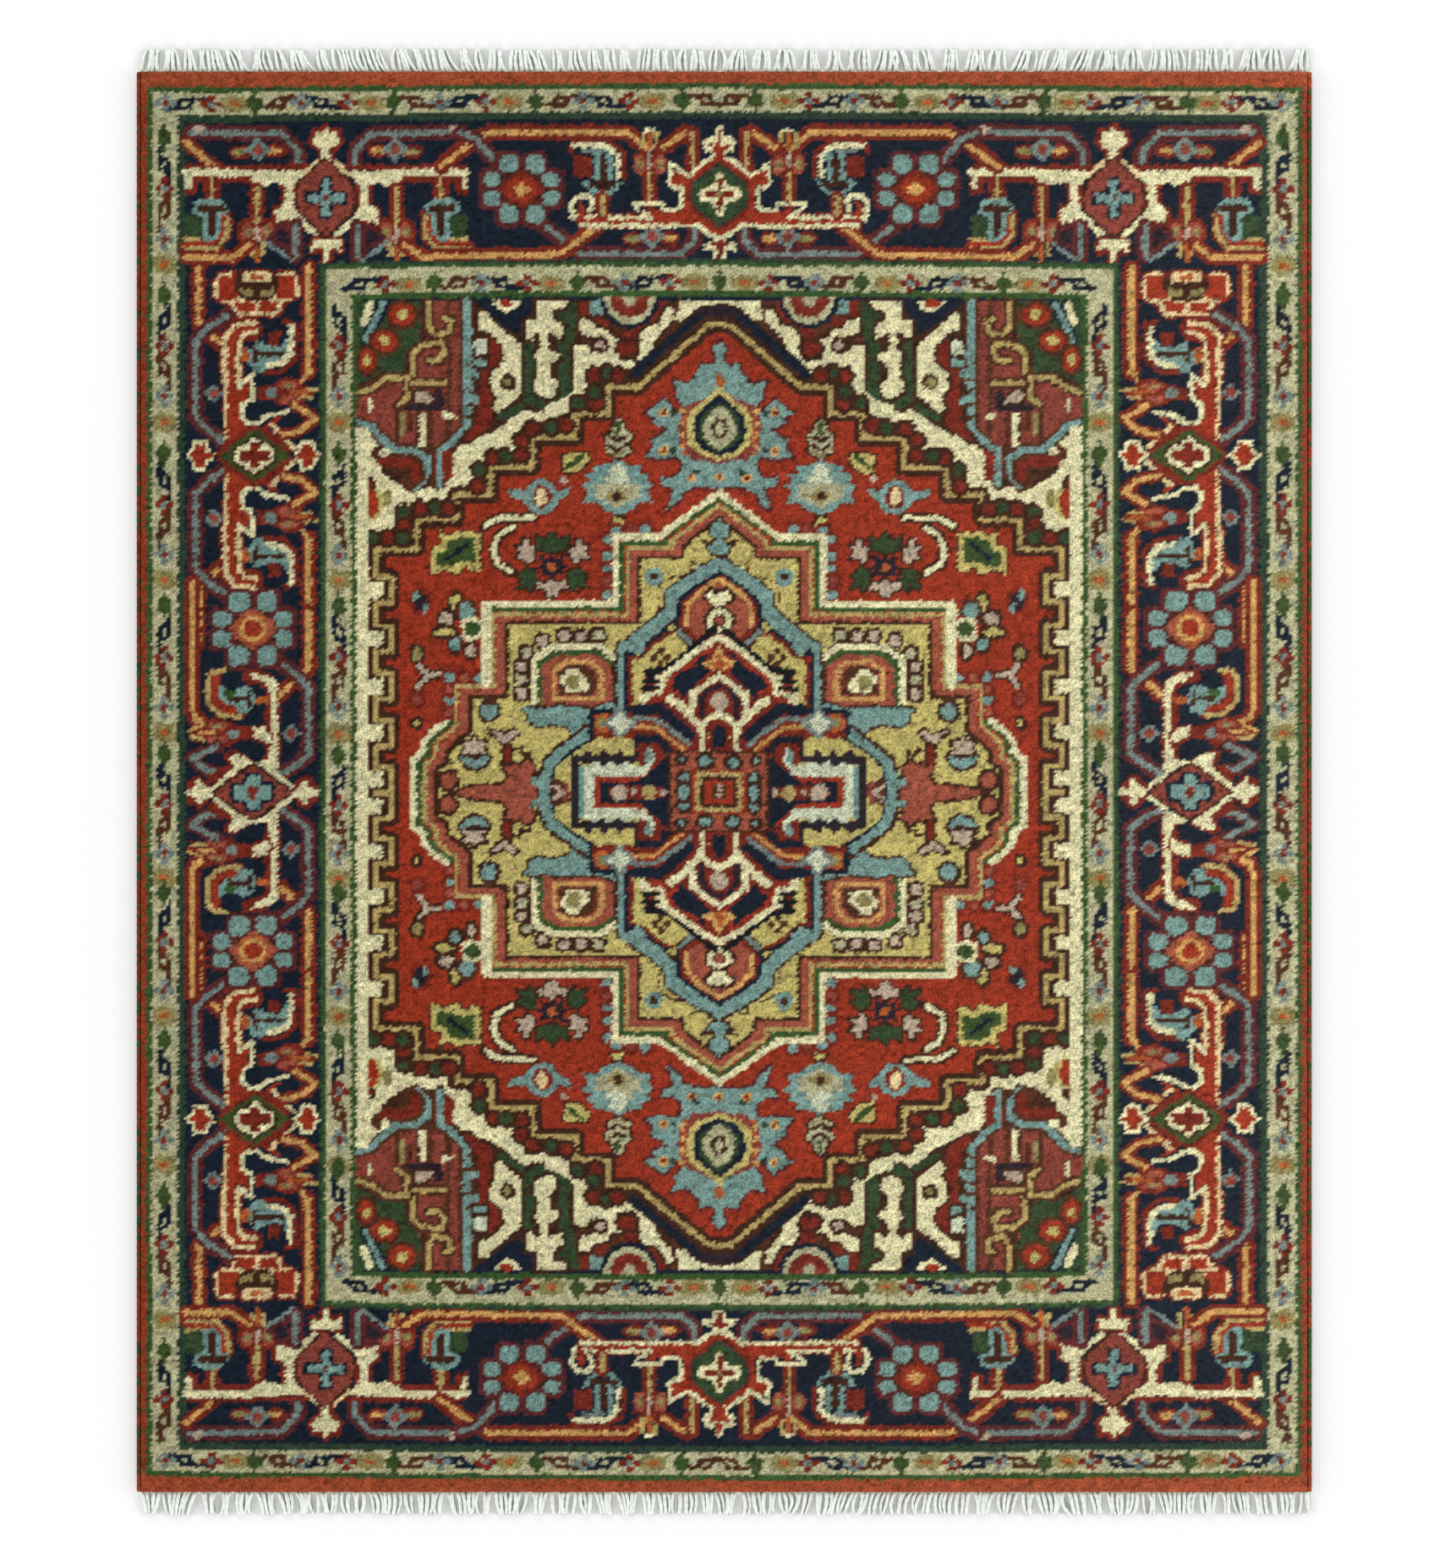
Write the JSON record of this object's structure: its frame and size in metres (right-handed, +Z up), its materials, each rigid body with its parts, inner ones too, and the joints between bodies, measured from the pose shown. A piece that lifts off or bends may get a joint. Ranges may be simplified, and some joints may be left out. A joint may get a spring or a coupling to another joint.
{
  "type": "area rug",
  "caption": "Hand-knotted wool area rug with a stepped gold medallion on a red field, ivory corners, a navy main border between beige guards and white cotton fringes.",
  "frame": {"origin": "bottom centre of the rug, on the floor", "axes": "+Y along the warps (the long way), +X across the rug, +Z up out of the pile"},
  "size_m": [1.22, 1.5244, 0.011],
  "materials": {
    "cotton_ground": "matte",
    "cotton_fringe": "matte",
    "wool_red": "matte",
    "wool_beige": "matte",
    "wool_navy": "matte",
    "wool_ivory": "matte",
    "wool_gold": "matte"
  },
  "bodies": {
    "root": {"end_band_bottom": "cotton_ground", "end_band_top": "cotton_ground", "foundation": "cotton_ground", "fringe_bottom": "cotton_fringe", "fringe_top": "cotton_fringe", "pile_edge_bottom": "wool_red", "pile_edge_left": "wool_red", "pile_edge_right": "wool_red", "pile_edge_top": "wool_red", "pile_field_ne": "wool_red", "pile_field_nw": "wool_red", "pile_field_se": "wool_red", "pile_field_sw": "wool_red", "pile_inner_guard_bottom": "wool_beige", "pile_inner_guard_left": "wool_beige", "pile_inner_guard_right": "wool_beige", "pile_inner_guard_top": "wool_beige", "pile_main_border_bottom": "wool_navy", "pile_main_border_left": "wool_navy", "pile_main_border_right": "wool_navy", "pile_main_border_top": "wool_navy", "pile_medallion": "wool_gold", "pile_outer_guard_bottom": "wool_beige", "pile_outer_guard_left": "wool_beige", "pile_outer_guard_right": "wool_beige", "pile_outer_guard_top": "wool_beige", "pile_spandrel_ne": "wool_ivory", "pile_spandrel_nw": "wool_ivory", "pile_spandrel_se": "wool_ivory", "pile_spandrel_sw": "wool_ivory", "selvedge_left": "wool_red", "selvedge_right": "wool_red"}
  },
  "joints": []
}
